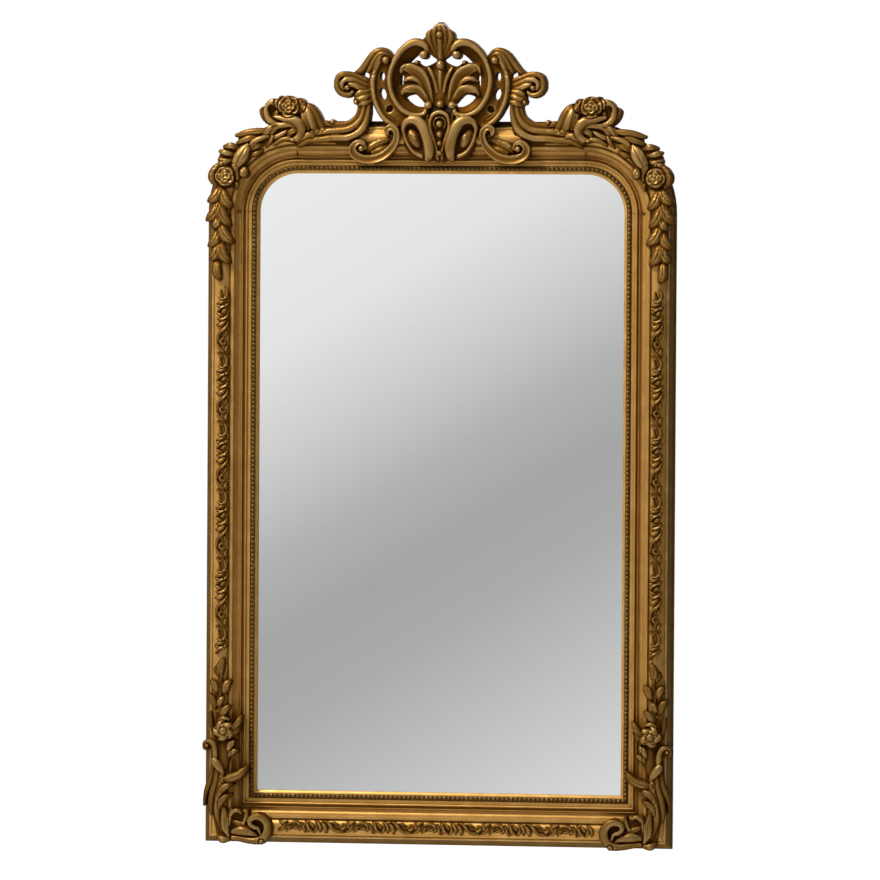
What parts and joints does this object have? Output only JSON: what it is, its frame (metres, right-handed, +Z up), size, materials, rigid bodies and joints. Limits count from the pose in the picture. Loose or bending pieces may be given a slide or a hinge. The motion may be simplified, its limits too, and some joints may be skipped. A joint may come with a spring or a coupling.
{
  "type": "trumeau mirror",
  "caption": "Tall gilded wall mirror with round top corners, pierced rocaille crest, rose and laurel corner sprays, acanthus feet and a beaded sight edge on a pine back frame.",
  "frame": {"origin": "middle of the bottom rail's back face, where the frame lies against the wall, 35 mm above the bottom edge", "axes": "+Z up, +Y towards the wall, -Y is the side with the mirror"},
  "size_m": [0.9468, 0.0802, 1.6509],
  "materials": {
    "gilded_wood": "aged gilding over a dark brown ground, satin",
    "dark_gilding": "darkened gilding with worn bead tops",
    "mirror_plate": "silvered glass, polished",
    "pine": "planed, unvarnished",
    "plywood": "sanded, unvarnished",
    "brass": "dull stamped brass",
    "zinc_steel": "zinc plated"
  },
  "bodies": {
    "frame": {"back_stile_left": "pine", "back_stile_right": "pine", "back_rail_bottom": "pine", "back_rail_top": "pine", "back_corner_block_left": "pine", "back_corner_block_right": "pine", "moulding_left": "gilded_wood", "moulding_right": "gilded_wood", "moulding_bottom": "gilded_wood", "moulding_top": "gilded_wood", "moulding_corner_left": "gilded_wood", "moulding_corner_right": "gilded_wood", "beaded_slip_left": "dark_gilding", "beaded_slip_right": "dark_gilding", "beaded_slip_bottom": "dark_gilding", "beaded_slip_top": "dark_gilding", "beaded_slip_corner_left": "dark_gilding", "beaded_slip_corner_right": "dark_gilding", "mirror_plate": "mirror_plate", "glazing_fillet_left": "pine", "glazing_fillet_right": "pine", "glazing_fillet_bottom": "pine", "glazing_fillet_top": "pine", "backboard": "plywood", "turn_button_screw_lower_left": "zinc_steel", "turn_button_screw_lower_right": "zinc_steel", "turn_button_screw_middle_left": "zinc_steel", "turn_button_screw_middle_right": "zinc_steel", "turn_button_screw_upper_left": "zinc_steel", "turn_button_screw_upper_right": "zinc_steel", "hanger_strap_left": "zinc_steel", "hanger_strap_right": "zinc_steel", "hanger_screw_1_left": "zinc_steel", "hanger_screw_1_right": "zinc_steel", "hanger_screw_2_left": "zinc_steel", "hanger_screw_2_right": "zinc_steel", "crest_batten": "pine", "crest_screw_lower": "zinc_steel", "crest_screw_upper": "zinc_steel", "crest_centre": "gilded_wood", "crest_wing_left": "gilded_wood", "crest_wing_right": "gilded_wood", "corner_spray_left": "gilded_wood", "corner_spray_right": "gilded_wood", "corner_foot_left": "gilded_wood", "corner_foot_right": "gilded_wood", "leaf_band_left": "gilded_wood", "leaf_band_right": "gilded_wood", "leaf_band_bottom": "gilded_wood"},
    "button_lower_left": {"turn_button_lower_left": "brass"},
    "button_lower_right": {"turn_button_lower_right": "brass"},
    "button_middle_left": {"turn_button_middle_left": "brass"},
    "button_middle_right": {"turn_button_middle_right": "brass"},
    "button_upper_left": {"turn_button_upper_left": "brass"},
    "button_upper_right": {"turn_button_upper_right": "brass"},
    "ring_left": {"hanger_ring_left": "zinc_steel"},
    "ring_right": {"hanger_ring_right": "zinc_steel"}
  },
  "joints": [
    {"name": "button_lower_left_turn", "type": "hinge", "parent": "frame", "child": "button_lower_left", "pos_m": [-0.3873, 0.0013, 0.14], "axis": [0, 1, 0], "continuous": true},
    {"name": "button_lower_right_turn", "type": "hinge", "parent": "frame", "child": "button_lower_right", "pos_m": [0.3873, 0.0013, 0.14], "axis": [0, 1, 0], "continuous": true},
    {"name": "button_middle_left_turn", "type": "hinge", "parent": "frame", "child": "button_middle_left", "pos_m": [-0.3873, 0.0013, 0.6265], "axis": [0, 1, 0], "continuous": true},
    {"name": "button_middle_right_turn", "type": "hinge", "parent": "frame", "child": "button_middle_right", "pos_m": [0.3873, 0.0013, 0.6265], "axis": [0, 1, 0], "continuous": true},
    {"name": "button_upper_left_turn", "type": "hinge", "parent": "frame", "child": "button_upper_left", "pos_m": [-0.3873, 0.0013, 1.113], "axis": [0, 1, 0], "continuous": true},
    {"name": "button_upper_right_turn", "type": "hinge", "parent": "frame", "child": "button_upper_right", "pos_m": [0.3873, 0.0013, 1.113], "axis": [0, 1, 0], "continuous": true},
    {"name": "ring_left_swing", "type": "hinge", "parent": "frame", "child": "ring_left", "pos_m": [-0.4245, 0.0041, 0.98], "axis": [-1, 0, 0], "range_deg": [0, 178]},
    {"name": "ring_right_swing", "type": "hinge", "parent": "frame", "child": "ring_right", "pos_m": [0.4245, 0.0041, 0.98], "axis": [-1, 0, 0], "range_deg": [0, 178]}
  ]
}
